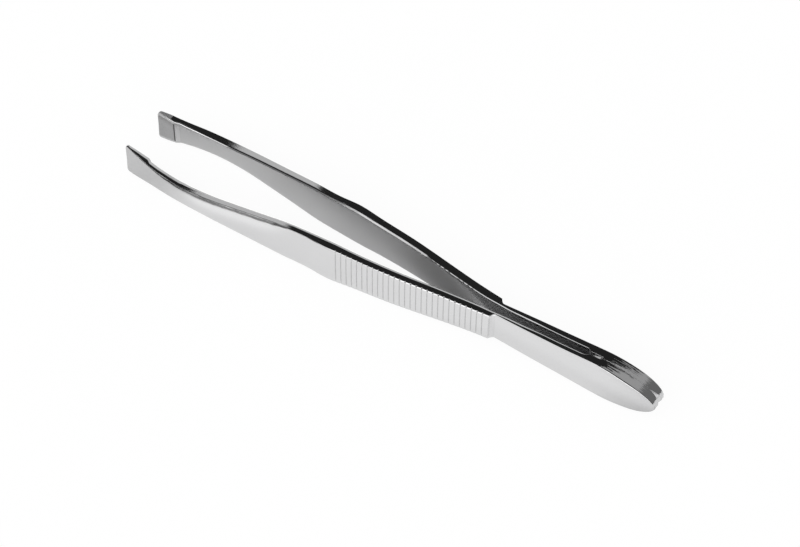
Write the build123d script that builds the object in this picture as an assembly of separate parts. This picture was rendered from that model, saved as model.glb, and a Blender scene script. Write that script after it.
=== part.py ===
from build123d import *
import os

# Cosmetic tweezers: two plated steel arms, spot-welded together at the heel.
# Millimetres. +X runs from the heel to the tips, +Y to the left arm, +Z up.
# The tweezers rest on the lower edges of both arms. The exported parts have their
# origin at the centre of the footprint, on the resting plane. They are modelled with
# the heel end at x = 0 and mid-height at z = 0, and moved there at the end.

# Whole strip
length = 95.5                  # heel end to the middle of the tip edge
half_width_max = 3.925         # at the front shoulder of the grip
rest_x0, rest_x1 = 55.8, 57.4  # flat stretch of the edges, which the arms rest on
heel_end_x = 13.0              # heel blocks end and spring leaves begin
leaf_end_x = 28.0              # spring leaves end and arms begin

# Gap between the heel blocks, from the heel end forwards
notch_x = 1.70                 # length of the V notch
notch_half = 0.50              # half width of the notch at its mouth
heel_seam = 0.010              # half of the gap between the heel faces
throat_x0 = 10.05              # closed end of the throat
throat_half = 0.29             # half width of the throat
jog_x0, jog_x1 = 12.15, 12.75  # slanted wall that widens the throat to the slot
slot_half = 0.64               # half width of the slot at the rear of the leaves

# Grip
step_x_bottom = 28.15          # foot of the short ramp up to the raised grip face
step_x_top = 28.95             # rear end of the raised grip face
grip_end = (55.6, 4.95)        # (x, y) where the grip's outer face meets the front's
groove_count = 28
groove_first_x = 55.17         # front groove
groove_pitch = 0.930
groove_width = 0.26
groove_depth = 0.11

# Tips
pad_y = 4.00                   # ground gripping pads, parallel to the middle plane
pad_x = 91.65                  # rear end of the pads
pad_ramp_x = 90.90             # foot of the short ramp behind each pad
tip_slant = 0.10               # lower corner of each tip leads the upper one by this
tip_corner_r = 0.35            # rounding of the lower tip corners
tip_front_x = length + tip_slant / 2
tip_overrun = 1.0              # arm plan runs past the tip, where the side outline trims it
tip_overrun_drop = 0.22        # fall of the outer face over that overrun

# Welds
weld_r = 1.30                  # spot-weld nugget radius
weld_t = 0.40                  # nugget thickness, half in each heel block
weld_x = (4.2, 8.0)            # nugget centres along the heel
bead_flat = 0.55               # length of the bead's full-height rear end
bead_end_gap = 0.1             # from the bead's front end to the slanted wall
bead_half_rear = 3.50          # half height of the bead at the rear
bead_half_front = 2.30         # half height of the bead at the front

# Extrusion reach to each side, beyond the strip it is intersected with
plan_reach = 5
side_reach = 10

# Half width of the strip: (x, z)
half_width_rear = [
    (0.0, 0.45), (0.35, 0.98), (0.8, 1.40), (1.4, 1.80), (2.2, 2.23), (3.2, 2.63),
    (4.5, 2.97), (6.5, 3.37), (9.0, 3.68), (12.0, 3.59), (16.0, 3.33), (21.0, 3.14),
    (26.0, 2.95), (31.0, 2.88), (37.0, 3.11), (43.0, 3.36), (49.0, 3.57), (53.0, 3.74),
    (rest_x0, half_width_max),
]
half_width_front = [
    (rest_x1, half_width_max), (58.6, 3.885), (60.2, 3.83), (62.2, 3.80), (64.2, 3.73),
    (67.0, 3.44), (70.0, 3.07), (75.0, 2.49), (80.0, 1.97), (84.0, 1.83), (88.0, 2.01),
    (91.5, 2.44), (93.5, 2.83), (length, 3.13),
]

# Outer face of the left side: (x, y)
outer_rear = [
    (0.0, 1.45), (0.6, 1.56), (2.2, 1.70), (5.0, 1.78), (10.0, 1.66), (15.0, 1.61),
    (20.0, 1.54), (25.0, 1.42), (step_x_bottom, 1.31),
]
outer_grip = [
    (step_x_top, 2.06), (34.0, 2.60), (40.0, 3.36), (46.0, 4.12), (51.0, 4.55),
    (53.5, 4.76), grip_end,
]
outer_front = [
    grip_end, (57.0, 5.03), (58.4, 5.00), (60.0, 4.93), (61.5, 4.94), (64.0, 5.09),
    (68.0, 5.41), (73.0, 5.81), (78.0, 6.19), (83.0, 6.31), (87.0, 6.05), (91.0, 5.44),
    (93.0, 5.08), (length, 4.55),
]

# Inner face of the left arm, from the leaf to the pad ramp: (x, y)
inner_arm = [
    (leaf_end_x, 0.755), (31.0, 0.86), (34.5, 1.22), (38.0, 1.66), (45.0, 2.58),
    (52.0, 3.20), (58.0, 3.54), (63.0, 3.78), (68.0, 4.15), (73.0, 4.51), (78.0, 4.83),
    (81.0, 4.90), (84.0, 4.88), (86.2, 4.79), (88.6, 4.61), (pad_ramp_x, 4.36),
]


def point_at(table, x):
    """Point at x on the straight lines joining a table's points."""
    for (x0, y0), (x1, y1) in zip(table, table[1:]):
        if x0 <= x <= x1:
            return (x, y0 + (y1 - y0) * (x - x0) / (x1 - x0))


def one(shape):
    """The largest solid of a boolean's result."""
    return max(shape.solids(), key=lambda solid: solid.volume)


def extrusion(plane, runs, reach):
    """Closed outline extruded both ways; runs are (line class, points)."""
    with BuildPart() as solid:
        with BuildSketch(plane):
            with BuildLine():
                for curve, points in runs:
                    curve(*points)
            make_face()
        extrude(amount=reach, both=True)
    return solid.part


def side_outline():
    """Side outline (XZ) of the whole strip, extruded across both arms."""
    runs = []
    tips = []
    for sign in (1, -1):
        rear = [(x, sign * z) for x, z in half_width_rear]
        front = [(x, sign * z) for x, z in half_width_front]
        front[-1] = (length - sign * tip_slant / 2, front[-1][1])
        runs += [(Spline, rear), (Line, [rear[-1], front[0]]), (Spline, front)]
        tips.append(front[-1])
    heel_x, heel_z = half_width_rear[0]
    runs += [(Line, [(heel_x, -heel_z), (heel_x, heel_z)]), (Line, tips[::-1])]
    return extrusion(Plane.XZ, runs, side_reach)


def strip_piece(plan):
    """Piece of the left strip: a plan (XY) trimmed to the side outline."""
    return one(extrusion(Plane.XY, plan, plan_reach) & side_outline())


def nugget(x):
    """Spot-weld nugget, half in each heel block."""
    return Cylinder(weld_r, weld_t, rotation=(90, 0, 0)).moved(Location((x, 0, 0)))


def heel(nuggets):
    """Left heel block, with pockets for the weld nuggets."""
    outer = [p for p in outer_rear if p[0] < heel_end_x] + [point_at(outer_rear, heel_end_x)]
    inner = [
        outer[-1], (heel_end_x, slot_half), (jog_x1, slot_half), (jog_x0, throat_half),
        (throat_x0, throat_half), (throat_x0, heel_seam), (notch_x, heel_seam),
        (0.0, notch_half), outer[0],
    ]
    solid = strip_piece([(Spline, outer), (Polyline, inner)])
    for weld in nuggets:
        solid = one(solid - weld)
    return solid


def leaf():
    """Left spring leaf, between heel and arm."""
    outer = [
        point_at(outer_rear, heel_end_x),
        *[p for p in outer_rear if heel_end_x < p[0] < leaf_end_x],
        point_at(outer_rear, leaf_end_x),
    ]
    inner = [outer[-1], inner_arm[0], (heel_end_x, slot_half), outer[0]]
    return strip_piece([(Spline, outer), (Polyline, inner)])


def grooves():
    """Cutters for the shallow upright V grooves across the outer face of the grip."""
    cutters = []
    for n in range(groove_count):
        x, y = point_at(outer_grip, groove_first_x - groove_pitch * n)
        # The V carries on outwards at the same slope, to three times its size.
        half_mouth = 3 * groove_width / 2
        mouth_y = y + 2 * groove_depth
        rear, front = (x - half_mouth, mouth_y), (x + half_mouth, mouth_y)
        vee = [rear, (x, y - groove_depth), front, rear]
        cutters.append(extrusion(Plane.XY, [(Polyline, vee)], plan_reach))
    return cutters


def round_lower_tip(solid):
    """Rounds the lower front corner of the tip."""
    edges = [
        e for e in solid.edges()
        if abs(e.center().X - tip_front_x) < 0.3
        and e.center().Z < -2.4
        and abs(e.tangent_at(0.5).Y) > 0.8
    ]
    # Leaves the corner sharp if no edge is found or the fillet fails on the thin tip.
    try:
        return solid.fillet(tip_corner_r, edges) if edges else solid
    except Exception:
        return solid


def arm():
    """Left arm: grooved grip, front and tip with its gripping pad."""
    step = [inner_arm[0], point_at(outer_rear, leaf_end_x), outer_rear[-1], outer_grip[0]]
    overrun_x = length + tip_overrun
    tip = [
        outer_front[-1], (overrun_x, outer_front[-1][1] - tip_overrun_drop),
        (overrun_x, pad_y), (pad_x, pad_y), inner_arm[-1],
    ]
    solid = strip_piece([
        (Polyline, step), (Spline, outer_grip), (Spline, outer_front),
        (Polyline, tip), (Spline, inner_arm),
    ])
    return round_lower_tip(one(solid - grooves()))


def bead():
    """Weld bead in the throat, with top and bottom sloping in towards the slot."""
    flat_x = throat_x0 + bead_flat
    end_x = jog_x0 - bead_end_gap
    side = [
        (throat_x0, -bead_half_rear), (throat_x0, bead_half_rear), (flat_x, bead_half_rear),
        (end_x, bead_half_front), (end_x, -bead_half_front), (flat_x, -bead_half_rear),
    ]
    return extrusion(Plane.XZ, [(Polyline, side + side[:1])], throat_half)


nuggets = [nugget(x) for x in weld_x]
left_parts = {"heel": heel(nuggets), "spring": leaf(), "arm": arm()}

# Puts the centre of the footprint at the origin and the resting edges at z = 0.
lift = Location((-tip_front_x / 2, 0, half_width_max))
os.makedirs("parts", exist_ok=True)
for name, left in left_parts.items():
    right = left.mirror(Plane.XZ)
    export_step(left.moved(lift), f"parts/left_{name}.step")
    export_step(right.moved(lift), f"parts/right_{name}.step")
welds = Compound(children=[one(weld).moved(lift) for weld in [*nuggets, bead()]])
export_step(welds, "parts/heel_welds.step")
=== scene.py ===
"""Tweezers: two one-piece plated steel arms and the weld metal that joins them at the heel.

The parts are laid out in millimetres: x runs from the heel end (0) to the tips, y out from
the middle plane and z up from the strip's mid height. to_frame() carries a point into the
frame, in metres. The left arm is on +y (side 1) and the right arm on -y (side -1).
"""
import math

import bmesh
import bpy
import numpy as np
from mathutils import Matrix, Vector


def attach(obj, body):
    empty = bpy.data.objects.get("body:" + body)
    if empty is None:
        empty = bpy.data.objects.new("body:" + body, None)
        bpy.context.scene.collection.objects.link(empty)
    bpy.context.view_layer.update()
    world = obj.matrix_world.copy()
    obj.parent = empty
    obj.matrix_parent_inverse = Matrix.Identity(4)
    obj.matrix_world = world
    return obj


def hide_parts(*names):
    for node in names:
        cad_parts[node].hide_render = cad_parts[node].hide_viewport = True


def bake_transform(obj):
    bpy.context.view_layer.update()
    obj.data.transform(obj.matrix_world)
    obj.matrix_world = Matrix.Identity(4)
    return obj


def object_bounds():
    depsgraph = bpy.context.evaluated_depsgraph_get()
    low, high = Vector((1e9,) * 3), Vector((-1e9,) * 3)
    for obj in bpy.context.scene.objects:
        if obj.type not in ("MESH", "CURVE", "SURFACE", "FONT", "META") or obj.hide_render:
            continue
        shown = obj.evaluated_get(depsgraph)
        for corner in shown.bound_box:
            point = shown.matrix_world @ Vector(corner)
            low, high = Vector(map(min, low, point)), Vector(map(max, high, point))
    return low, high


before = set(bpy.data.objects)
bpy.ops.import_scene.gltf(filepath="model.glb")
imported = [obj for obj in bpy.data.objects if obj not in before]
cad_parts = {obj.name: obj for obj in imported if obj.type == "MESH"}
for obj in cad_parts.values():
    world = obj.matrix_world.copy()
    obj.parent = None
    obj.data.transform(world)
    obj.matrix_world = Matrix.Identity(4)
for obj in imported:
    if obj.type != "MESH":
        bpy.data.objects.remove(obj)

CAD_LO, CAD_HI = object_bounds()
X0 = CAD_LO.x * 1000.0                       # the heel end in the frame, mm
ZC = (CAD_LO.z + CAD_HI.z) * 500.0           # mid height in the frame, mm
LEFT, RIGHT = 1, -1

# ---------------------------------------------------------------------------
# Dimensions, mm
# ---------------------------------------------------------------------------
LENGTH = 95.5
TIP_SLANT, TIP_HALF = 0.10, 3.05     # how far the tip's end leans back, and its half height

# (x, half the strip's height)
HALF_HEIGHT = [
    (0.0, 0.45), (0.35, 0.98), (0.8, 1.40), (1.4, 1.80), (2.2, 2.23), (3.2, 2.63), (4.5, 2.97),
    (6.5, 3.37), (9.0, 3.68), (12.0, 3.59), (16.0, 3.33), (21.0, 3.14), (26.0, 2.95),
    (31.0, 2.88), (37.0, 3.11), (43.0, 3.36), (49.0, 3.57), (53.0, 3.74), (55.8, 3.915),
    (56.6, 3.925), (57.4, 3.918), (58.6, 3.895), (60.2, 3.85), (62.2, 3.80), (64.2, 3.725),
    (67.0, 3.44), (70.0, 3.07), (75.0, 2.49), (80.0, 1.97), (84.0, 1.83), (88.0, 2.01),
    (91.5, 2.44), (93.5, 2.83), (95.5, 3.13),
]
# (x, y) of the outer face: heel and leaf, then grip and front
OUTER_REAR = [
    (0.0, 1.45), (0.6, 1.56), (2.2, 1.70), (5.0, 1.78), (10.0, 1.66), (15.0, 1.61),
    (20.0, 1.54), (25.0, 1.42), (28.15, 1.31), (31.0, 1.20),
]
OUTER_FRONT = [
    (26.0, 1.75), (28.95, 2.06), (34.0, 2.60), (40.0, 3.36), (46.0, 4.12), (51.0, 4.55),
    (53.5, 4.76), (55.6, 4.95), (57.0, 5.03), (58.4, 5.00), (60.0, 4.93), (61.5, 4.94),
    (64.0, 5.09), (68.0, 5.41), (73.0, 5.81), (78.0, 6.19), (83.0, 6.31), (87.0, 6.05),
    (91.0, 5.44), (93.0, 5.08), (95.5, 4.55),
]
# (x, y) of the inner face along the grip and front
INNER_FRONT = [
    (28.0, 0.755), (31.0, 0.86), (34.5, 1.22), (38.0, 1.66), (45.0, 2.58), (52.0, 3.20),
    (58.0, 3.54), (63.0, 3.78), (68.0, 4.15), (73.0, 4.51), (78.0, 4.83), (81.0, 4.90),
    (84.0, 4.88), (86.2, 4.79), (88.6, 4.61), (90.9, 4.36), (93.0, 4.10),
]
PAD_Y = 4.00                                           # the flat pad inside each tip
PAD = {LEFT: (91.25, 90.60), RIGHT: (92.10, 91.25)}    # where the pad starts, and its ramp
STEP_FOOT, STEP_TOP = 28.20, 28.95                     # ramp up to the raised grip
SEAM = 0.006                                           # half gap between the heels
NOTCH_X = 1.70                                         # depth of the vee in the heel end
NOTCH = {LEFT: 0.24, RIGHT: 0.60}                      # y of the vee's mouth
THROAT_X, THROAT_Y = 10.05, 0.29
JOG_A, JOG_B, SLOT_Y = 12.15, 12.75, 0.64              # throat widens to slot from A to B
INNER_BLEND = (26.0, 29.5)                             # slot turns into the inner front

GROOVE_PITCH = 0.930
GROOVES = [55.17 - GROOVE_PITCH * n for n in range(28)]
GROOVE_W, GROOVE_D = 0.17, 0.10                        # half width and depth

# Edge rounding: (x, across the thickness[, down the face])
LEFT_TOP_OUTER = [
    (0, 0.12, 0.12), (1.5, 0.16, 0.16), (5, 0.28, 0.28), (8.5, 0.27, 0.27), (11, 0.17, 0.20),
    (28.6, 0.16, 0.19), (29.2, 0.15, 0.20), (44, 0.15, 0.20), (52, 0.28, 0.28),
    (55, 0.28, 0.28), (59, 0.20, 0.20), (63.5, 0.24, 0.24), (67, 0.38, 0.86), (80, 0.38, 0.86),
    (83, 0.30, 0.68), (86, 0.28, 0.60), (90.6, 0.10, 0.20), (95.0, 0.09, 0.16),
]
HEEL_TOP_INNER = [
    (0, 0.05, 0.05), (2.0, 0.015, 0.015), (6.0, 0.015, 0.015), (6.8, 0.06, 0.06),
    (9.0, 0.06, 0.06), (9.6, 0.02, 0.02), (12.0, 0.06, 0.06),
]
LEFT_TOP_INNER = HEEL_TOP_INNER + [
    (13.5, 0.19, 0.11), (20, 0.20, 0.11), (24, 0.36, 0.20), (29, 0.38, 0.21), (36, 0.38, 0.21),
    (58, 0.38, 0.21), (66, 0.34, 0.20), (80, 0.36, 0.20), (84, 0.52, 0.24), (84.5, 0.64, 0.27),
    (90, 0.64, 0.27), (94.6, 0.50, 0.21), (95.4, 0.30, 0.16),
]
RIGHT_TOP_OUTER = [(0, 0.08), (12, 0.07), (91, 0.07), (95.0, 0.12)]
RIGHT_TOP_INNER = HEEL_TOP_INNER + [
    (13.5, 0.15), (19, 0.17), (23, 0.34), (32, 0.30), (41.6, 0.30), (43.0, 0.48), (55, 0.50),
    (66, 0.52), (80, 0.46), (85, 0.36), (90.6, 0.34), (92.0, 0.20), (95.0, 0.16),
]
LOW_EDGES = [(0, 0.06), (6, 0.08), (91, 0.10), (95.0, 0.10)]
# a bevelled corner with softened ends, from the edge to the face: (across, up) in radii
BEVEL = [
    (0, 1), (0.05, 0.99), (0.12, 0.955), (0.38, 0.77),
    (0.64, 0.585), (0.90, 0.40), (0.97, 0.28), (1, 0),
]
END_ROUNDING = [(0.05, 0.035), (0.12, 0.05)]           # (inset, push outwards) of the end rings

# Segments round a section: along a face, round a corner, across an edge
N_FACE, N_CORNER, N_EDGE = 14, 7, 5
# Zones round a section, from the bottom of the outer face over the top edge
OUTER, EDGE, INNER = 0, 1, 2
EDGE_RUN = [EDGE] * (2 * (N_CORNER + 1) + N_EDGE - 1)
POINT_ZONES = [OUTER] * (N_FACE - 1) + EDGE_RUN + [INNER] * (N_FACE - 1) + EDGE_RUN
RING_ZONES = [a if a == b else EDGE for a, b in zip(POINT_ZONES, POINT_ZONES[1:] + [EDGE])]
# The faces of the top edge in a ring: its outer corner, all of it, its inner corner
TOP_OUTER = range(N_FACE - 1, N_FACE + N_CORNER)
TOP_ALL = range(N_FACE - 1, N_FACE + 2 * N_CORNER + N_EDGE)
TOP_INNER = range(N_FACE + N_CORNER + N_EDGE - 2, TOP_ALL.stop)

WELD_END_X = 11.75
NUGGETS_X = (4.2, 8.0)
NUGGET_RINGS = [                                       # (y, radius)
    (-0.2, 0.55), (-0.17, 1.0), (-0.1, 1.24), (0.0, 1.3), (0.1, 1.24), (0.17, 1.0), (0.2, 0.55),
]
NUGGET_SEGMENTS = 40


# ---------------------------------------------------------------------------
# Curves along the arm
# ---------------------------------------------------------------------------
def spline(points):
    """Natural cubic through (x, y) points, straight beyond them, as a function of an array."""
    px, py = np.array(points, float).T
    count = len(px)
    gap = np.diff(px)
    matrix = np.zeros((count, count))
    rhs = np.zeros(count)
    matrix[0, 0] = matrix[-1, -1] = 1
    for i in range(1, count - 1):
        matrix[i, i - 1:i + 2] = gap[i - 1], 2 * (gap[i - 1] + gap[i]), gap[i]
        rhs[i] = 6 * ((py[i + 1] - py[i]) / gap[i] - (py[i] - py[i - 1]) / gap[i - 1])
    bend = np.linalg.solve(matrix, rhs)

    def curve(x):
        x = np.atleast_1d(np.asarray(x, float))
        i = np.clip(np.searchsorted(px, x) - 1, 0, count - 2)
        g, after, before = gap[i], px[i + 1] - x, x - px[i]
        inside = (
            (bend[i] * after**3 + bend[i + 1] * before**3) / (6 * g)
            + (py[i] / g - bend[i] * g / 6) * after
            + (py[i + 1] / g - bend[i + 1] * g / 6) * before
        )
        first_slope = (py[1] - py[0]) / gap[0] - gap[0] * bend[1] / 6
        last_slope = (py[-1] - py[-2]) / gap[-1] + gap[-1] * bend[-2] / 6
        start = py[0] + (x - px[0]) * first_slope
        end = py[-1] + (x - px[-1]) * last_slope
        return np.where(x < px[0], start, np.where(x > px[-1], end, inside))

    return curve


def ramp(x, start, end):
    """Smooth step from 0 at start to 1 at end."""
    t = np.clip((np.asarray(x, float) - start) / (end - start), 0, 1)
    return t * t * (3 - 2 * t)


def span(x, rise, rise_end, fall, fall_end):
    """Up from 0 to 1 and down again."""
    return ramp(x, rise, rise_end) * (1 - ramp(x, fall, fall_end))


def knots(x, table, column=1):
    """Smooth steps between the values in one column of the table."""
    out = np.full(x.shape, float(table[0][column]))
    for a, b in zip(table, table[1:]):
        out = out + (b[column] - a[column]) * ramp(x, a[0], b[0])
    return out


half_height = spline(HALF_HEIGHT)
outer_rear, outer_front = spline(OUTER_REAR), spline(OUTER_FRONT)
inner_front = spline(INNER_FRONT)


def outer_y(x):
    """Outer face: heel and leaf, a short concave ramp, then the raised grip and the front."""
    share = np.clip((x - STEP_FOOT) / (STEP_TOP - STEP_FOOT), 0, 1) ** 1.55
    return outer_rear(x) * (1 - share) + outer_front(x) * share


def inner_y(x, side):
    """Inner face: notch, seam, throat, slot, grip and front, then the ramp and the pad."""
    pad_x, ramp_x = PAD[side]
    flare = np.clip((NOTCH_X - x) / NOTCH_X, 0, 1) ** 1.15
    jog = np.clip((x - JOG_A) / (JOG_B - JOG_A), 0, 1)
    pad = np.clip((x - ramp_x) / (pad_x - ramp_x), 0, 1)
    y = np.where(x < NOTCH_X, SEAM + (NOTCH[side] - SEAM) * flare, SEAM)
    y = np.where(x > THROAT_X, THROAT_Y, y)
    y = np.where(x > JOG_A, THROAT_Y + (SLOT_Y - THROAT_Y) * jog, y)
    front = SLOT_Y + (inner_front(x) - SLOT_Y) * ramp(x, *INNER_BLEND)
    y = np.where(x > INNER_BLEND[0], front, y)
    return np.where(x > ramp_x, inner_front(ramp_x) * (1 - pad) + PAD_Y * pad, y)


def groove_depth(x):
    depth = np.zeros(x.shape)
    for groove in GROOVES:
        t = np.clip(1 - np.abs(x - groove) / GROOVE_W, 0, 1)
        depth = np.maximum(depth, GROOVE_D * t * t * (3 - 2 * t))
    return depth


def stations(side):
    """Where the sections stand: even spacing, closer at every edge, corner and groove."""
    xs = [*np.arange(0.0, LENGTH + 1e-9, 0.30), *np.arange(0.0, 4.0, 0.1)]
    xs += [0.02, 0.05, 0.1, 0.16, 0.23, 0.42, 0.5]
    for corner_x in (NOTCH_X, JOG_A, JOG_B, *PAD[side]):
        xs += [corner_x + d for d in (-0.08, -0.04, 0, 0.04, 0.08)]
    xs += [THROAT_X + d for d in (-0.06, -0.02, 0, 0.004, 0.03, 0.08)]
    xs += [*np.linspace(STEP_FOOT - 0.3, STEP_TOP, 14)]
    xs += [STEP_TOP + d for d in (0.03, 0.07, 0.13)]
    for groove in GROOVES:
        for d in (0, 0.04, 0.075, 0.11, 0.15, 0.22):
            xs += [groove - d, groove + d]
    xs += [LENGTH - d for d in (0.0, 0.015, 0.04, 0.08, 0.13, 0.19, 0.26, 0.34, 0.43, 0.52,
                                0.62, 0.73, 0.85, 1.0)]
    xs = np.unique(np.round(np.array(xs), 4))
    # sections nearer than 0.012 mm stay only at the throat's wall and the tip's end
    kept = [xs[0]]
    for x in xs[1:]:
        if x - kept[-1] > 0.012 or abs(x - THROAT_X) < 0.01 or x > LENGTH - 0.03:
            kept.append(x)
    return np.array(kept)


# ---------------------------------------------------------------------------
# Materials
# ---------------------------------------------------------------------------
class Nodes:
    """Builds a node tree; every method returns an output socket unless it says otherwise."""

    def __init__(self, tree):
        self.tree = tree
        tree.nodes.clear()

    def set(self, socket, value):
        if isinstance(value, bpy.types.NodeSocket):
            self.tree.links.new(value, socket)
        else:
            socket.default_value = value

    def node(self, kind, inputs=None):
        """Adds a node, with inputs by name or index, and returns the node."""
        made = self.tree.nodes.new(kind)
        for key, value in (inputs or {}).items():
            self.set(made.inputs[key], value)
        return made

    def math(self, operation, a, b=0.0, c=0.0, clamp=False):
        made = self.node("ShaderNodeMath", {0: a, 1: b, 2: c})
        made.operation = operation
        made.use_clamp = clamp
        return made.outputs[0]

    def mul(self, a, b):
        return self.math("MULTIPLY", a, b)

    def sub(self, a, b):
        return self.math("SUBTRACT", a, b)

    def dim(self, value, amount):
        """value * (1 - amount)"""
        return self.mul(value, self.sub(1.0, amount))

    def remap(self, value, start, end, low=0.0, high=1.0, kind="LINEAR"):
        made = self.node("ShaderNodeMapRange", {0: value, 1: start, 2: end, 3: low, 4: high})
        made.interpolation_type = kind
        return made.outputs[0]

    def step(self, value, start, end, low=0.0, high=1.0):
        return self.remap(value, start, end, low, high, "SMOOTHSTEP")

    def noise(self, stretch, scale=1.0, detail=2.0, rough=0.5):
        place = self.node("ShaderNodeTexCoord").outputs["Object"]
        mapped = self.node("ShaderNodeMapping", {"Vector": place, "Scale": stretch}).outputs[0]
        return self.node("ShaderNodeTexNoise", {
            "Vector": mapped, "Scale": scale, "Detail": detail, "Roughness": rough,
        }).outputs["Fac"]

    def vector(self, operation, *values):
        made = self.node("ShaderNodeVectorMath", dict(enumerate(values)))
        made.operation = operation
        return made.outputs[0]

    def xyz(self, source):
        return self.node("ShaderNodeSeparateXYZ", {0: source}).outputs

    def grey(self, value):
        return self.node("ShaderNodeCombineColor", {0: value, 1: value, 2: value}).outputs[0]

    def background(self, colour):
        return self.node("ShaderNodeBackground", {0: colour, 1: 1.0}).outputs[0]

    def pick(self, share, shader_0, shader_1):
        """shader_0 where share is 0, shader_1 where it is 1."""
        return self.node("ShaderNodeMixShader", {0: share, 1: shader_0, 2: shader_1}).outputs[0]


def metal(name, level, blue, rough, vary, scratch, lay, wave, hollow_shade, streak=0, hatch=0, corner_shade=0):
    material = bpy.data.materials.new(name)
    material.use_nodes = True
    nodes = Nodes(material.node_tree)
    shader = nodes.node("ShaderNodeBsdfPrincipled", {"Metallic": 1.0})
    nodes.node("ShaderNodeOutputMaterial", {0: shader.outputs[0]})

    # smudges from handling: broad, faint patches that dull the polish
    smudge = nodes.noise((1, 1, 1), 260.0, 4.0, 0.6)
    fine = nodes.noise((1, 1, 1), 2600.0, 3.0, 0.6)
    lines = nodes.noise(lay, 1.0, 3.0, 0.7)
    deep_lines = nodes.remap(lines, 0.56, 0.72)
    smudged = nodes.mul(nodes.remap(smudge, 0.35, 0.75, -0.4, 1.0), vary)
    roughness = nodes.math("ADD", rough, smudged)
    scratched = nodes.mul(deep_lines, vary * 0.8)
    roughness = nodes.math("ADD", roughness, scratched, clamp=True)
    nodes.set(shader.inputs["Roughness"], roughness)

    # painted shade in the hollows, and slightly darker plate along the crests
    pointiness = nodes.node("ShaderNodeNewGeometry").outputs["Pointiness"]
    crest = nodes.remap(pointiness, 0.50, 0.62)
    hollow = nodes.remap(pointiness, 0.50, 0.42)
    shade = nodes.dim_free = nodes.sub(1.0, nodes.mul(hollow, hollow_shade))
    shade = nodes.sub(shade, nodes.mul(nodes.remap(fine, 0.45, 0.75), 0.03))
    shade = nodes.sub(shade, nodes.mul(crest, 0.02))
    if corner_shade:
        # painted shade, darker towards the upper front corner, x and z in metres
        x, _, z = nodes.xyz(nodes.node("ShaderNodeTexCoord").outputs["Object"])
        high = nodes.step(z, 0.0044, 0.0067)
        corner_shaded = nodes.mul(high, nodes.step(x, 0.0432, 0.0468, 0.25, 1.0))
        corner_shaded = nodes.math("MAXIMUM", corner_shaded, nodes.step(x, 0.0452, 0.0470, 0.0, 0.30))
        shade = nodes.sub(shade, nodes.mul(corner_shaded, corner_shade))
    colour = nodes.node("ShaderNodeMix")
    colour.data_type = "RGBA"
    nodes.set(colour.inputs[0], shade)
    colour.inputs[6].default_value = (level * 0.35, level * 0.34, blue * 0.33, 1)
    colour.inputs[7].default_value = (level, level, blue, 1)
    nodes.set(shader.inputs["Base Color"], colour.outputs[2])

    # fine scratches and the plate's very slight orange peel
    scratches = nodes.mul(lines, scratch)
    peel = nodes.mul(nodes.noise((1, 1, 1), 900.0, 2.0), wave)
    height = nodes.math("ADD", scratches, peel)
    normal = nodes.node("ShaderNodeBump", {
        "Strength": 0.5, "Distance": 0.00002, "Height": height,
    }).outputs[0]
    if streak or hatch:
        # dressing lines: long along the strip, fine across it, each leaning the surface
        along = nodes.sub(nodes.noise((480, 7500, 300), 1.0, 2.0, 0.6), 0.5)
        along = nodes.mul(along, streak)
        across = nodes.sub(nodes.noise((260, 5200, 5200), 1.0, 2.0, 0.6), 0.5)
        across = nodes.mul(across, hatch)
        lean = nodes.node("ShaderNodeCombineXYZ", {0: along, 2: across}).outputs[0]
        normal = nodes.vector("NORMALIZE", nodes.vector("ADD", normal, lean))
    nodes.set(shader.inputs["Normal"], normal)
    return material


# The arms' metals, in slot order. Columns: red and green, blue, roughness, its variation,
# scratch height, scratch noise stretch, orange peel, painted shade in the hollows; then, where
# given, the lean of the lines in x, the lean in z, and the painted shade towards the upper front
# corner.
ARM_METALS = {
    "bright_plate": (0.70, 0.705, 0.055, 0.035, 0.5, (500, 9000, 9000), 0.5, 0.55),
    # the ground pad's last column is painted shade towards its upper front corner
    "ground_pad": (0.535, 0.54, 0.22, 0.05, 1.4, (9000, 9000, 700), 0.2, 0.3, 0, 0, 0.62),
    "dressed_edge": (0.67, 0.675, 0.055, 0.03, 0.6, (900, 6000, 9000), 0.2, 0.3, 0.42),
    # a darker plate in the grooves and along the step's crest: painted shade
    "painted_groove_shade": (0.61, 0.615, 0.24, 0.08, 0.8, (6000, 6000, 600), 0.4, 0.5),
    # a near-black plate: painted shadow lines along the pad's rear edge and at the groove tops
    "painted_shadow_line": (0.13, 0.13, 0.30, 0.08, 0.8, (6000, 6000, 600), 0.4, 0.5),
    "ground_edge": (0.66, 0.665, 0.07, 0.04, 0.8, (700, 9000, 9000), 0.2, 0.3, 0.06, 0.30),
    "slot_wall": (0.70, 0.705, 0.42, 0.04, 0.02, (700, 9000, 9000), 0.0, 0.2),
    # a lighter plate on the pad's ramp: a painted highlight
    "pad_ramp": (0.80, 0.805, 0.09, 0.04, 0.6, (6000, 6000, 600), 0.2, 0.3),
    "ground_tip_edge": (0.74, 0.745, 0.58, 0.10, 0.8, (900, 9000, 9000), 0.3, 0.3),
    # a near-white plate on the heel vee's walls: a painted reflection
    "notch_wall": (0.93, 0.935, 0.12, 0.04, 0.3, (6000, 6000, 600), 0.1, 0.1),
}
SLOTS = {name: i for i, name in enumerate(ARM_METALS)}
WELD_METAL = (0.72, 0.72, 0.20, 0.10, 0.8, (4000, 4000, 4000), 2.0, 0.4)


# ---------------------------------------------------------------------------
# Arms
# ---------------------------------------------------------------------------
def to_frame(point):
    """From the layout in millimetres into the frame in metres."""
    return Vector(((point.x + X0) / 1000.0, point.y / 1000.0, (point.z + ZC) / 1000.0))


def finish_object(bm, name):
    bmesh.ops.recalc_face_normals(bm, faces=bm.faces)
    for vert in bm.verts:
        vert.co = to_frame(vert.co)
    mesh = bpy.data.meshes.new(name)
    bm.to_mesh(mesh)
    bm.free()
    obj = bpy.data.objects.new(name, mesh)
    bpy.context.scene.collection.objects.link(obj)
    return obj


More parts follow.
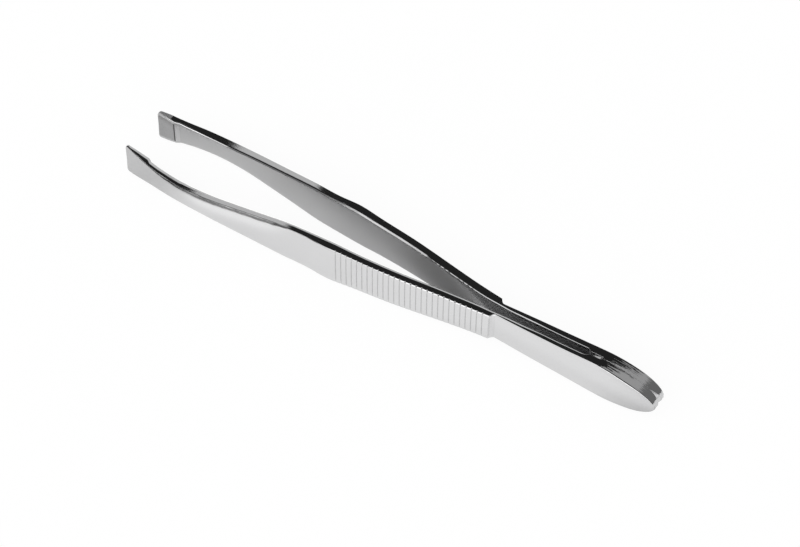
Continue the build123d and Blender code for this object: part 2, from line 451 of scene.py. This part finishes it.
def edge_shapes(xs, side):
    """Top edge radii (outer y, outer z, inner y, inner z), then outer and inner bevel shares."""
    if side == LEFT:
        outer_bevel = span(xs, 63.5, 67.0, 93.8, 95.2) + span(xs, 9.0, 11.0, 44.0, 50.0)
        return (
            knots(xs, LEFT_TOP_OUTER), knots(xs, LEFT_TOP_OUTER, 2),
            knots(xs, LEFT_TOP_INNER), knots(xs, LEFT_TOP_INNER, 2),
            outer_bevel, ramp(xs, 12.5, 13.5),
        )
    outer = knots(xs, RIGHT_TOP_OUTER)
    # the inner edge wavers along the grip, partly in step with the grooves
    turn = 2 * math.pi
    in_step = np.sin(turn * (xs - GROOVES[0]) / GROOVE_PITCH) * (1.2 + np.sin(xs * 1.31))
    waver = 0.05 * in_step + 0.05 * np.sin(turn * xs / 2.3 + 1.0)
    across = knots(xs, RIGHT_TOP_INNER) * (1 + waver * span(xs, 30.0, 38.0, 56.0, 59.0))
    down = across * (1 - 0.28 * span(xs, 41.6, 43.0, 80.0, 85.0))
    bevel = span(xs, 42.0, 43.2, 59.0, 63.0)
    across = across + (0.31 - across) * bevel
    down = down + (0.34 - down) * bevel
    return outer, outer, across, down, 0 * xs, bevel


def run(start, end, count):
    """The points between start and end, without them."""
    return [start + (end - start) * k / count for k in range(1, count)]


def corner(y, z, side_y, side_z, radius_y, radius_z, bevel=0.0, dig=0.0):
    """Rounded corner within the sharp corner (y, z), partly bevelled and dug into."""
    points = []
    for k in range(N_CORNER + 1):
        angle = math.pi / 2 * k / N_CORNER
        flat_across, flat_up = BEVEL[N_CORNER - k]
        if side_y != side_z:
            angle = math.pi / 2 - angle
            flat_across, flat_up = BEVEL[k]
        across, up = math.cos(angle), math.sin(angle)
        cut = dig * across ** 0.5
        across += (flat_across - across) * bevel
        up += (flat_up - up) * bevel
        points.append((
            y - side_y * radius_y + side_y * radius_y * across - cut,
            z - side_z * radius_z + side_z * radius_z * up,
        ))
    return points


def section(inner, outer, top, bottom, out_y, out_z, in_y, in_z, out_bevel, in_bevel, low,
            dig, top_dig, crown):
    """One closed ring of (y, z) round the strip, zoned as in POINT_ZONES."""
    thick = outer - inner
    low_y = min(low, thick * 0.5 - 0.004)
    if out_y + in_y > thick - 0.05:
        out_y, in_y = (r * (thick - 0.05) / (out_y + in_y) for r in (out_y, in_y))
    out_z, in_z, low_z = (min(r, 0.6 * (top + bottom) / 2) for r in (out_z, in_z, low))
    points = []
    for k, z in enumerate(run(low_z - bottom, top - out_z, N_FACE), 1):
        points.append((outer - dig + crown * (1 - (2 * k / N_FACE - 1) ** 2), z))
    points += corner(outer, top, 1, 1, out_y, out_z, out_bevel, top_dig)
    points += [(y, top) for y in run(outer - out_y, inner + in_y, N_EDGE)]
    points += corner(inner, top, -1, 1, in_y, in_z, in_bevel)
    points += [(inner, z) for z in run(top - in_z, low_z - bottom, N_FACE)]
    points += corner(inner, -bottom, -1, -1, low_y, low_z)
    points += [(y, -bottom) for y in run(inner + low_y, outer - low_y, N_EDGE)]
    points += corner(outer, -bottom, 1, -1, low_y, low_z, dig=dig)
    return points


def tip_rounding(xs, radius):
    """How much the height drops at the tip's corner, seen from the side."""
    d = np.clip(xs - (LENGTH - radius), 0, radius)
    return radius * (1 - np.sqrt(np.maximum(1 - (d / radius) ** 2, 0))) * 0.9


def arm_rings(bm, xs, side):
    left = side == LEFT
    half, inner, outer = half_height(xs), inner_y(xs, side), outer_y(xs)
    top = half - tip_rounding(xs, 0.30 if left else 0.55)
    bottom = half - tip_rounding(xs, 0.36)
    dig = groove_depth(xs)
    sections = zip(
        inner, outer, top, bottom, *edge_shapes(xs, side), knots(xs, LOW_EDGES),
        dig, dig if left else 0 * dig, 0.035 * span(xs, 2, 9, 86, 94),
    )
    lean = TIP_SLANT * ramp(xs, LENGTH - 4.0, LENGTH) / (2 * TIP_HALF)
    # at the heel the top and bottom edges fall away from the middle plane
    fall = 0.048 * (1 - ramp(xs, 9.5, 13.0)) / 1.7**2
    # by the tip the top edge is canted, less so at the right arm's very end
    cant = 0.085 * side * ramp(xs, 86.0, 91.0)
    short = 0 * xs
    if not left:
        cant = cant * (1 - 0.75 * ramp(xs, 92.0, 93.6))
        short = 0.18 * ramp(xs, 91.0, 95.0)      # the right tip is a little shorter
    rings = []
    for i, columns in enumerate(sections):
        middle = (inner[i] + outer[i]) / 2
        ring = []
        for y, z in section(*columns):
            near_edge = float(ramp(abs(z), 0.6 * half[i], half[i]))
            tilt = cant[i] * (y - middle) * near_edge if z > 0 else 0.0
            z = z - math.copysign(fall[i] * y * y * near_edge, z) + tilt
            ring.append(bm.verts.new((xs[i] - z * lean[i] - short[i], y * side, z)))
        rings.append(ring)
    return rings


def face_metal(side, zone, k, x):
    """Which metal the k-th face of the ring at x shows."""
    if zone == INNER:
        pad_x, ramp_x = PAD[side]
        # the vee's near-white walls are a painted reflection
        if x < NOTCH_X:
            return "notch_wall"
        if THROAT_X < x < 27.0:
            return "slot_wall"
        if x > pad_x:
            # a painted shadow line along the pad's rear edge, then the ground pad
            return "painted_shadow_line" if x < pad_x + 0.22 else "ground_pad"
        # the ramp's lighter plate is a painted highlight
        return "pad_ramp" if x > ramp_x + 0.10 else "bright_plate"
    to_groove = min(abs(x - groove) for groove in GROOVES)
    if zone == OUTER:
        # painted shade: a darker plate in the grooves and along the step's crest
        in_hollow = to_groove < 0.08 or abs(x - (STEP_TOP - 0.06)) < 0.08
        return "painted_groove_shade" if in_hollow else "bright_plate"
    if side == RIGHT and k in TOP_ALL and x > 92.5 + (k - TOP_ALL[0]) / len(TOP_ALL):
        return "ground_tip_edge"
    # painted dark ticks where the grooves meet the left arm's top edge
    if side == LEFT and 34.2 < x < 44.5 and k in TOP_OUTER[1:6] and to_groove < 0.085:
        return "painted_shadow_line"
    if x < 9.6:
        return "dressed_edge"
    if side == LEFT:
        ground = 64.5 < x < 91.0 and k in TOP_OUTER
    else:
        ground = 43.0 < x < 60.0 and k in TOP_INNER
    return "ground_edge" if ground else "bright_plate"


def add_face(bm, verts, metal_name):
    face = bm.faces.new(verts)
    face.smooth = True
    face.material_index = SLOTS[metal_name]
    return face


def close_end(bm, ring, side, at_tip):
    """Two shrinking rings, so that the end's edge is slightly rounded, and a core of quads."""
    order = -1 if at_tip != (side == LEFT) else 1
    metal_name = "bright_plate" if at_tip else "dressed_edge"
    centre = Vector(np.array([vert.co for vert in ring]).mean(0))
    count = len(ring)
    last = ring
    for inset, push in END_ROUNDING:
        new = []
        for vert in ring:
            inward = centre - vert.co
            inward.x = 0
            point = vert.co + inward.normalized() * min(inset, inward.length * 0.45)
            point.x += push if at_tip else -push
            new.append(bm.verts.new(point))
        for k in range(count):
            n = (k + 1) % count
            add_face(bm, (last[k], new[k], new[n], last[n])[::order], metal_name)
        last = new
    back = last[::-1]
    for k in range(count // 2 - 1):
        add_face(bm, (last[k], last[k + 1], back[k + 1], back[k])[::order], metal_name)


def arm_object(name, side):
    bm = bmesh.new()
    zone_layer = bm.faces.layers.int.new("zone")
    xs = stations(side)
    rings = arm_rings(bm, xs, side)
    for i, (a, b) in enumerate(zip(rings, rings[1:])):
        x = (xs[i] + xs[i + 1]) / 2
        for k, zone in enumerate(RING_ZONES):
            n = (k + 1) % len(a)
            quad = (a[k], b[k], b[n], a[n]) if side == LEFT else (a[k], a[n], b[n], b[k])
            add_face(bm, quad, face_metal(side, zone, k, x))[zone_layer] = zone
    close_end(bm, rings[0], side, at_tip=False)
    close_end(bm, rings[-1], side, at_tip=True)
    return finish_object(bm, name)


# ---------------------------------------------------------------------------
# Weld metal
# ---------------------------------------------------------------------------
def add_bead(bm):
    """The bead in the throat, its top dished and falling towards the slot."""
    half_width = THROAT_Y + 0.01
    xs = np.linspace(THROAT_X - 0.02, WELD_END_X, 22)
    ys = np.linspace(-half_width, half_width, 13)
    top, low = [], []
    for x in xs:
        t = (x - xs[0]) / (xs[-1] - xs[0])
        z = 3.66 - 0.12 * t - 0.34 * t**1.8
        z += 0.02 * math.sin(9.0 * t + 0.6) * t
        top.append([])
        low.append([])
        for y in ys:
            across = y / half_width
            height = z - 0.05 + 0.09 * (across * across) * (0.35 + 0.65 * t)
            top[-1].append(bm.verts.new((x, y, height)))
            low[-1].append(bm.verts.new((x, y, -height)))
    for a, b, c, d in zip(top, top[1:], low, low[1:]):
        for j in range(len(ys) - 1):
            bm.faces.new((a[j], b[j], b[j + 1], a[j + 1])).smooth = True
            bm.faces.new((c[j], c[j + 1], d[j + 1], d[j])).smooth = True
    for a, b, c, d in zip(top, top[1:], low, low[1:]):
        bm.faces.new((a[0], c[0], d[0], b[0]))
        bm.faces.new((a[-1], b[-1], d[-1], c[-1]))
    for j in range(len(ys) - 1):
        bm.faces.new((top[0][j], top[0][j + 1], low[0][j + 1], low[0][j]))
        bm.faces.new((top[-1][j], low[-1][j], low[-1][j + 1], top[-1][j + 1]))


def add_nugget(bm, centre_x):
    """A round nugget across the seam."""
    angles = np.linspace(0, 2 * math.pi, NUGGET_SEGMENTS, endpoint=False)
    rings = [
        [bm.verts.new((centre_x + r * math.cos(a), y, r * math.sin(a))) for a in angles]
        for y, r in NUGGET_RINGS
    ]
    for a, b in zip(rings, rings[1:]):
        for k in range(NUGGET_SEGMENTS):
            n = (k + 1) % NUGGET_SEGMENTS
            bm.faces.new((a[k], b[k], b[n], a[n])).smooth = True
    bm.faces.new(rings[0])
    bm.faces.new(rings[-1][::-1])


def weld_object(name):
    bm = bmesh.new()
    add_bead(bm)
    for x in NUGGETS_X:
        add_nugget(bm, x)
    return finish_object(bm, name)


# ---------------------------------------------------------------------------
# Pieces
# ---------------------------------------------------------------------------
arm_metals = [metal(name, *values) for name, values in ARM_METALS.items()]
for side, label in ((LEFT, "left"), (RIGHT, "right")):
    arm = arm_object(f"{label}_arm_one_piece", side)
    for material in arm_metals:
        arm.data.materials.append(material)
    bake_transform(arm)
    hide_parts(f"{label}_heel", f"{label}_spring", f"{label}_arm")
welds = weld_object("heel_weld_metal")
welds.data.materials.append(metal("weld_metal", *WELD_METAL))
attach(welds, "heel")
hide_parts("heel_welds")

# ---------------------------------------------------------------------------
# Studio, in frame metres
# ---------------------------------------------------------------------------
FLOOR_LIFT = 0.93      # how far the camera's view of the floor is evened out
BESIDE_LIFT = 0.78     # and how far its reflection is evened out with painted light, close to the left arm
SOFT_KEY, SOFT_FILL = 1.75, 0.64     # diffuse light from +y, and from all round

scene = bpy.context.scene
scene.view_settings.view_transform = "Standard"
scene.view_settings.look = "None"


def floor_material():
    """A pale sheet, with patches of painted shade and painted light that only reflections show.
    Each step() is (value, start, end, low, high) over x or y.
    """
    material = bpy.data.materials.new("pale_floor")
    material.use_nodes = True
    nodes = Nodes(material.node_tree)
    mul, step, dim = nodes.mul, nodes.step, nodes.dim
    shader = nodes.node("ShaderNodeBsdfPrincipled", {"Roughness": 0.9, "Specular IOR Level": 0.0})
    even = nodes.remap(nodes.noise((1, 1, 1), 40.0, 3.0), 0.3, 0.7, 0.83, 0.85)
    x, y, _ = nodes.xyz(nodes.node("ShaderNodeNewGeometry").outputs["Position"])
    width = nodes.math("ABSOLUTE", y)
    # painted shade by the left tip
    tone = dim(even, mul(step(x, 0.034, 0.046, 0.0, 0.24), step(y, 0.002, 0.005)))
    # painted shade between the arms
    tone = dim(tone, mul(step(width, 0.0056, 0.0030, 0.0, 0.20), step(x, 0.014, 0.028)))
    # painted shade, darkest under the slot
    from_slot = nodes.math(
        "MAXIMUM", mul(width, 9.0),
        nodes.math("MAXIMUM", nodes.math("ADD", x, 0.0265), nodes.sub(-0.030, x)),
    )
    tone = mul(tone, step(from_slot, 0.006, 0.013, 0.45, 1.0))
    # painted light beside the left arm's front
    lift = mul(step(x, 0.0175, 0.0240), step(x, 0.041, 0.033))
    lift = mul(lift, step(y, 0.0078, 0.0110, 0.0, 0.27))
    # painted shade under the rear of the left arm, out from the middle plane
    rear = step(x, 0.007, -0.004, 0.0, 0.30)
    tone = dim(tone, mul(rear, mul(step(y, 0.0050, 0.0030), step(y, -0.0026, -0.0002))))
    # painted light, a little lighter round the leaf
    leaf = mul(step(x, -0.014, -0.020, 0.0, 0.05), nodes.remap(x, -0.040, -0.034))
    lift = nodes.math("MAXIMUM", lift, leaf)
    tone = nodes.math("MULTIPLY", tone, nodes.math("ADD", 1.0, lift), clamp=True)
    # painted shade by the heel end
    tone = mul(tone, step(x, -0.048, -0.036, 0.90, 1.0))
    # the camera sees none of these patches
    rays = nodes.node("ShaderNodeLightPath").outputs
    camera_ray = rays["Is Camera Ray"]
    patches = nodes.sub(tone, even)
    tone = nodes.math("MULTIPLY_ADD", patches, nodes.sub(1.0, camera_ray), even)
    nodes.set(shader.inputs["Base Color"], nodes.grey(tone))

    # the camera sees the sheet almost evenly lit, with a faint shadow; reflections see it
    # evened out only in a strip beside the left arm, where the sheet glows with painted light
    sheet = nodes.node("ShaderNodeEmission", {0: (1, 1, 1, 1), 1: 1.0})
    strip_y = nodes.math("MAXIMUM", 0.0008, nodes.math("MULTIPLY_ADD", x, 0.113, 0.0034))
    beside = nodes.remap(nodes.sub(y, strip_y), 0.0, 0.0006)
    beside = mul(beside, step(x, 0.016, -0.010, 0.35, 1.0))
    beside = mul(beside, step(x, 0.030, 0.012))
    beside = mul(beside, step(x, -0.048, -0.034, 0.25, 1.0))
    by_camera = mul(camera_ray, FLOOR_LIFT)
    by_metal = mul(rays["Is Glossy Ray"], mul(beside, BESIDE_LIFT))
    seen = nodes.math("ADD", by_camera, by_metal)
    surface = nodes.pick(seen, shader.outputs[0], sheet.outputs[0])
    nodes.node("ShaderNodeOutputMaterial", {0: surface})
    return material


def add_floor():
    mesh = bpy.data.meshes.new("studio_floor")
    bm = bmesh.new()
    bmesh.ops.create_grid(bm, x_segments=8, y_segments=8, size=12.0)
    bm.to_mesh(mesh)
    bm.free()
    floor = bpy.data.objects.new("studio_floor", mesh)
    scene.collection.objects.link(floor)
    floor.location = (0, 0, CAD_LO.z - 0.00002)
    mesh.materials.append(floor_material())


def add_overhead_light():
    data = bpy.data.lights.new("overhead_soft", "AREA")
    data.shape = "DISK"
    data.size = 0.9
    data.energy = 2.3
    light = bpy.data.objects.new("overhead_soft", data)
    scene.collection.objects.link(light)
    light.location = (-0.35, 0.95, 1.0)
    light.rotation_mode = "QUATERNION"
    # aimed at the frame's origin
    light.rotation_quaternion = Vector((-0.35, 0.95, 1.0)).to_track_quat("Z", "Y")
    light.visible_glossy = False


def add_world():
    """The room as the metal sees it. x, y and z are the parts of the unit view direction."""
    world = bpy.data.worlds.new("studio")
    scene.world = world
    world.use_nodes = True
    nodes = Nodes(world.node_tree)
    mul, step = nodes.mul, nodes.step
    x, y, z = nodes.xyz(nodes.node("ShaderNodeTexCoord").outputs["Generated"])
    # a large softbox behind the camera
    key = mul(step(y, 0.22, 0.60), step(z, 0.88, 0.74))
    key = mul(key, mul(step(x, 0.36, 0.12, 1.0, 1.6), step(x, 0.45, 0.40, 0.24, 1.0)))
    key = mul(key, step(z, 0.18, 0.30, 0.30, 1.0))
    # the lower part of the far wall
    far_wall = mul(mul(step(y, -0.66, -0.78), step(z, 0.54, 0.40)), 0.66)
    # a paler panel past the tips
    past_tips = mul(step(x, 0.445, 0.49), step(z, 0.90, 0.80))
    past_tips = mul(past_tips, step(y, -0.20, -0.38, 0.0, 0.60))
    # a grey panel past the heel, its edge slanting
    slant = nodes.math("MULTIPLY_ADD", nodes.math("ADD", y, 0.514), -1.0, x)
    past_heel = mul(step(slant, 0.030, -0.005), step(x, -0.44, -0.38, 0.42, 1.0))
    past_heel = mul(past_heel, step(y, -0.20, -0.38, 0.0, 0.42))
    light = key
    for other in (far_wall, past_tips, past_heel, 0.020):
        light = nodes.math("MAXIMUM", light, other)
    room = nodes.background(nodes.grey(light))
    soft = nodes.math("ADD", mul(step(y, 0.15, 0.50), SOFT_KEY), SOFT_FILL)
    fill = nodes.background(nodes.grey(soft))
    white = nodes.background((1, 1, 1, 1))
    rays = nodes.node("ShaderNodeLightPath").outputs
    lit = nodes.pick(rays["Is Diffuse Ray"], room, fill)
    surface = nodes.pick(rays["Is Camera Ray"], lit, white)
    nodes.node("ShaderNodeOutputWorld", {0: surface})


def add_camera():
    data = bpy.data.cameras.new("camera")
    camera = bpy.data.objects.new("camera", data)
    scene.collection.objects.link(camera)
    scene.camera = camera
    data.sensor_fit = "HORIZONTAL"
    data.sensor_width = 36.0
    data.lens = 126.152
    data.clip_start, data.clip_end = 0.01, 100.0
    eye = to_frame(Vector((-94.7619, 225.2366, 348.0506)))     # given in the layout, mm
    axes = Matrix((
        (-0.8439346, -0.5364215, 0.0051376),     # right
        (0.4293529, -0.6696834, 0.605954),       # up
        (-0.3216062, 0.5135913, 0.7954831),      # back, towards the camera
    ))
    camera.matrix_world = Matrix.Translation(eye) @ axes.transposed().to_4x4()


add_floor()
add_overhead_light()
add_world()
add_camera()
